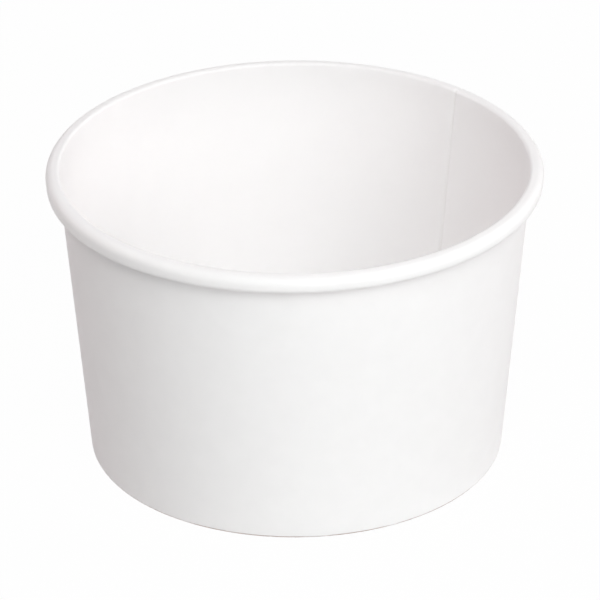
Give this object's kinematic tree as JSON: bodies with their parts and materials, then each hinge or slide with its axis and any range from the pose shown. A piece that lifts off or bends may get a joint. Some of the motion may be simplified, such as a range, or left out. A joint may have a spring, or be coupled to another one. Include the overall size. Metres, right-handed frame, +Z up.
{
  "type": "cardboard salad bowl",
  "caption": "Round white paperboard food bowl with tapered side, rolled rim, lapped side seam, hemmed base and a raised floor; holds salad or other takeaway food.",
  "frame": {"origin": "centre of the ring that the bowl stands on, at table level", "axes": "+Z up through the mouth; the inner cut edge of the side seam lies halfway between +X and +Y"},
  "size_m": [0.115, 0.115, 0.0714],
  "materials": {
    "wall_board": "bleached white board, matt outside, thin satin coating inside",
    "disc_board": "bleached white board with a thin satin coating on the food side"
  },
  "bodies": {
    "root": {"side_wall": "wall_board", "bottom_disc": "disc_board"}
  },
  "joints": []
}
